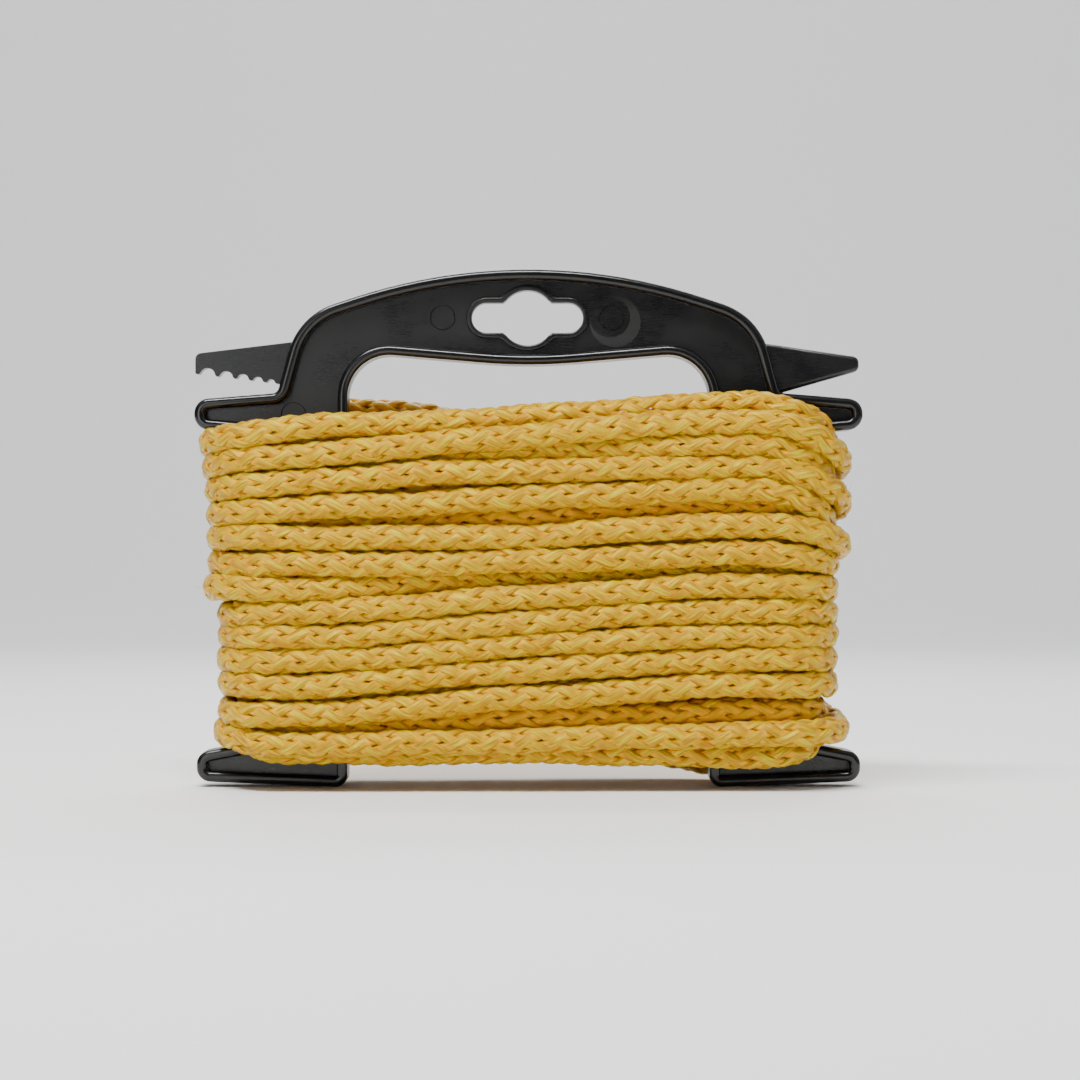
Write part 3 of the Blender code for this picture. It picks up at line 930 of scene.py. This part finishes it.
def new_material(name):
    material = bpy.data.materials.new(name)
    material.use_nodes = True
    return material, material.node_tree, material.node_tree.nodes["Principled BSDF"]


def add(tree, kind, **values):
    """A new node with its input sockets, or else its own settings, set by name."""
    node = tree.nodes.new(kind)
    for name, value in values.items():
        if name in node.inputs:
            node.inputs[name].default_value = value
        else:
            setattr(node, name, value)
    return node


def scaled(tree, source, scale):
    """The source vector stretched on each axis."""
    node = add(tree, "ShaderNodeMapping")
    node.inputs["Scale"].default_value = scale
    tree.links.new(source, node.inputs["Vector"])
    return node.outputs["Vector"]


def noise(tree, source, scale, detail):
    """Cloudy values round 0.5, with a scale for each axis."""
    node = add(tree, "ShaderNodeTexNoise", Scale=1.0, Detail=detail, Roughness=0.6)
    tree.links.new(scaled(tree, source, scale), node.inputs["Vector"])
    return node.outputs["Fac"]


def ramp(tree, source, stops):
    """The colour at a value, blended between stops of place and colour."""
    node = add(tree, "ShaderNodeValToRGB")
    elements = node.color_ramp.elements
    while len(elements) < len(stops):
        elements.new(0.5)
    for element, (place, colour) in zip(elements, stops):
        element.position = place
        element.color = (*colour, 1.0)
    tree.links.new(source, node.inputs["Fac"])
    return node.outputs["Color"]


def arithmetic(tree, operation, first, second):
    """A Math node on two values, each a socket or a number; None leaves the second out."""
    node = add(tree, "ShaderNodeMath", operation=operation)
    for number, value in enumerate((first, second)):
        if isinstance(value, (int, float)):
            node.inputs[number].default_value = value
        elif value is not None:
            tree.links.new(value, node.inputs[number])
    return node.outputs[0]


def mixed(tree, share, first, second):
    """Blend two colours, each a socket or three numbers."""
    node = add(tree, "ShaderNodeMix", data_type="RGBA")
    tree.links.new(share, node.inputs[0])
    for place, colour in ((6, first), (7, second)):
        if isinstance(colour, tuple):
            node.inputs[place].default_value = (*colour, 1.0)
        else:
            tree.links.new(colour, node.inputs[place])
    return node.outputs[2]


def spread_to(tree, source, low, high):
    """The source's middle range, 0.3 to 0.7, spread from low to high."""
    node = add(tree, "ShaderNodeMapRange")
    tree.links.new(source, node.inputs["Value"])
    node.inputs["From Min"].default_value = 0.3
    node.inputs["From Max"].default_value = 0.7
    node.inputs["To Min"].default_value = low
    node.inputs["To Max"].default_value = high
    return node.outputs[0]


def rope_material():
    """Glossy yellow filaments: pale and golden streaks along each strand, with a painted orange glow
    where it dives and on the under layers, which stands in for light bounced between the strands.
    """
    material, tree, shader = new_material("yellow_polypropylene")
    fibre = add(tree, "ShaderNodeAttribute", attribute_name="fibre").outputs["Vector"]
    crown = add(tree, "ShaderNodeAttribute", attribute_name="crown").outputs["Fac"]
    streaks = noise(tree, fibre, (0.16, 1.9, 3.7), 3.0)
    threads = noise(tree, fibre, (0.45, 3.6, 2.3), 2.0)
    patches = noise(tree, fibre, (0.11, 0.20, 5.1), 2.0)
    colour = ramp(tree, streaks, STREAK_COLOURS)
    colour = mixed(tree, spread_to(tree, patches, 0.0, 0.30), colour, PATCH_COLOUR)
    # Painted glow: where the crown is low, the colour turns to the orange that stands in for light
    # bounced between strands.
    colour = mixed(tree, spread_to(tree, crown, 1.0, 0.0), colour, PAINTED_CREVICE_GLOW)
    tree.links.new(colour, shader.inputs["Base Color"])
    tree.links.new(spread_to(tree, streaks, 0.34, 0.19), shader.inputs["Roughness"])
    shader.inputs["Specular IOR Level"].default_value = 0.85
    shader.inputs["Specular Tint"].default_value = (1.0, 0.80, 0.16, 1.0)
    shader.inputs["Subsurface Weight"].default_value = 0.3
    shader.inputs["Subsurface Radius"].default_value = (1.0, 0.40, 0.02)
    shader.inputs["Subsurface Scale"].default_value = 0.0024
    bump = add(tree, "ShaderNodeBump", Strength=1.0, Distance=0.00042)
    height = arithmetic(tree, "ADD", streaks, arithmetic(tree, "MULTIPLY", threads, 0.7))
    tree.links.new(height, bump.inputs["Height"])
    tree.links.new(bump.outputs["Normal"], shader.inputs["Normal"])
    return material


def smudge_beside_mark(tree, place):
    """One inside the faint crescent of flow mark round the right-hand pin mark, and zero elsewhere."""
    near = []
    for x, z, _ in SMUDGE_CIRCLES:
        spot = add(tree, "ShaderNodeVectorMath", operation="MULTIPLY_ADD")
        tree.links.new(place, spot.inputs[0])
        spot.inputs[1].default_value = (1.0, 0.0, 1.0)
        spot.inputs[2].default_value = (-x, 0.0, -z)
        length = add(tree, "ShaderNodeVectorMath", operation="LENGTH")
        tree.links.new(spot.outputs["Vector"], length.inputs[0])
        near.append(length.outputs["Value"])
    inside = arithmetic(tree, "LESS_THAN", near[0], SMUDGE_CIRCLES[0][2])
    outside = arithmetic(tree, "GREATER_THAN", near[1], SMUDGE_CIRCLES[1][2])
    return arithmetic(tree, "MULTIPLY", inside, outside)


def plastic_material():
    """Black polypropylene: glossy rounded beads, and plates that are duller and faintly scuffed."""
    material, tree, shader = new_material("black_polypropylene")
    place = add(tree, "ShaderNodeTexCoord").outputs["Object"]
    parts = add(tree, "ShaderNodeSeparateXYZ")
    tree.links.new(place, parts.inputs["Vector"])
    depth = arithmetic(tree, "ABSOLUTE", parts.outputs["Y"], None)
    web = arithmetic(tree, "LESS_THAN", depth, DULL_WITHIN)
    cloud = noise(tree, place, (55.0, 55.0, 55.0), 3.0)
    grain = noise(tree, place, (4200.0, 4200.0, 4200.0), 2.0)
    scratch = noise(tree, place, (260.0, 900.0, 5200.0), 2.0)
    dull = arithmetic(tree, "MULTIPLY", web, spread_to(tree, cloud, 0.08, 0.15))
    rough = arithmetic(tree, "ADD", dull, spread_to(tree, cloud, 0.14, 0.21))
    rough = arithmetic(tree, "ADD", rough, spread_to(tree, scratch, -0.02, 0.04))
    smudge = arithmetic(tree, "MULTIPLY", smudge_beside_mark(tree, place), web)
    rough = arithmetic(tree, "ADD", rough, arithmetic(tree, "MULTIPLY", smudge, 0.12))
    tree.links.new(rough, shader.inputs["Roughness"])
    base = mixed(tree, spread_to(tree, cloud, 0.0, 1.0), *PLASTIC_COLOURS)
    base = mixed(tree, smudge, base, SMUDGE_COLOUR)
    tree.links.new(base, shader.inputs["Base Color"])
    relief = arithmetic(tree, "ADD", grain, arithmetic(tree, "MULTIPLY", scratch, 0.3))
    depth_of_relief = arithmetic(tree, "ADD", arithmetic(tree, "MULTIPLY", web, 0.7), 0.5)
    relief = arithmetic(tree, "MULTIPLY", relief, depth_of_relief)
    bump = add(tree, "ShaderNodeBump", Strength=0.5, Distance=0.00003)
    tree.links.new(relief, bump.inputs["Height"])
    tree.links.new(bump.outputs["Normal"], shader.inputs["Normal"])
    return material


rope.data.materials.append(rope_material())
moulding.data.materials.append(plastic_material())

# ---------------------------------------------------------------- studio

# The floor runs back to SWEEP_START_Y, then curves up into the backdrop.
FLOOR_HALF_WIDTH = 2.4
FLOOR_FRONT_Y = -2.4
SWEEP_START_Y = 1.0
SWEEP_RADIUS = 0.8
SWEEP_POINTS = 25
BACKDROP_TOP_Z = 2.4


def lamp(name, place, target, size, power):
    """A white area lamp at a place, turned to a target."""
    light = bpy.data.lights.new(name, "AREA")
    light.shape = "RECTANGLE"
    light.size, light.size_y = size
    light.energy = power
    holder = bpy.data.objects.new(name, light)
    holder.location = place
    holder.rotation_euler = (Vector(target) - Vector(place)).to_track_quat("-Z", "Y").to_euler()
    bpy.context.scene.collection.objects.link(holder)


def studio():
    """The world, the lamps, and a floor that curves up into a backdrop."""
    world = bpy.data.worlds.new("studio")
    bpy.context.scene.world = world
    world.use_nodes = True
    tree = world.node_tree
    around = tree.nodes["Background"]
    around.inputs["Color"].default_value = (0.95, 0.98, 1.0, 1.0)
    around.inputs["Strength"].default_value = 0.10
    backdrop = add(tree, "ShaderNodeBackground", Color=(1.0, 1.0, 1.0, 1.0), Strength=1.3)
    share = add(tree, "ShaderNodeMixShader")
    tree.links.new(add(tree, "ShaderNodeLightPath").outputs["Is Camera Ray"], share.inputs[0])
    tree.links.new(around.outputs[0], share.inputs[1])
    tree.links.new(backdrop.outputs[0], share.inputs[2])
    tree.links.new(share.outputs[0], tree.nodes["World Output"].inputs["Surface"])
    lamp("key", (-0.16, -0.38, 0.78), (0.0, 0.0, 0.08), (0.62, 0.13), 11.0)
    lamp("ceiling", (0.0, 0.0, 2.60), (0.0, 0.0, 0.0), (8.0, 8.0), 82.0)
    lamp("backdrop", (0.0, 0.75, 1.70), (0.0, 1.75, 0.45), (2.6, 0.30), 20.0)
    lamp("left", (-0.36, -0.95, 0.17), (0.0, 0.0, 0.09), (0.30, 0.44), 1.4)
    lamp("right", (0.80, -0.10, 0.35), (0.0, 0.0, 0.07), (0.30, 0.50), 0.6)
    lamp("rear", (0.05, 0.62, 0.66), (0.0, 0.0, 0.10), (0.80, 0.20), 4.0)

    swing = np.linspace(0.0, math.pi / 2, SWEEP_POINTS)
    curve_y = SWEEP_START_Y + SWEEP_RADIUS * np.sin(swing)
    curve_z = SWEEP_RADIUS - SWEEP_RADIUS * np.cos(swing)
    depth = np.concatenate([[FLOOR_FRONT_Y], curve_y, [SWEEP_START_Y + SWEEP_RADIUS]])
    height = np.concatenate([[0.0], curve_z, [BACKDROP_TOP_Z]])
    sweep = np.stack([np.zeros(len(depth)), depth, height], axis=1)
    edges = (-FLOOR_HALF_WIDTH, FLOOR_HALF_WIDTH)
    sides = [sweep + np.array([across, 0.0, 0.0]) for across in edges]
    first = np.arange(len(sweep) - 1)
    rows = np.stack([first, first + len(sweep), first + len(sweep) + 1, first + 1], axis=1)
    floor = mesh_object("studio_floor", np.concatenate(sides), rows)
    material, tree, shader = new_material("studio_white")
    shader.inputs["Base Color"].default_value = (0.92, 0.92, 0.92, 1.0)
    shader.inputs["Roughness"].default_value = 0.9
    floor.data.materials.append(material)


studio()
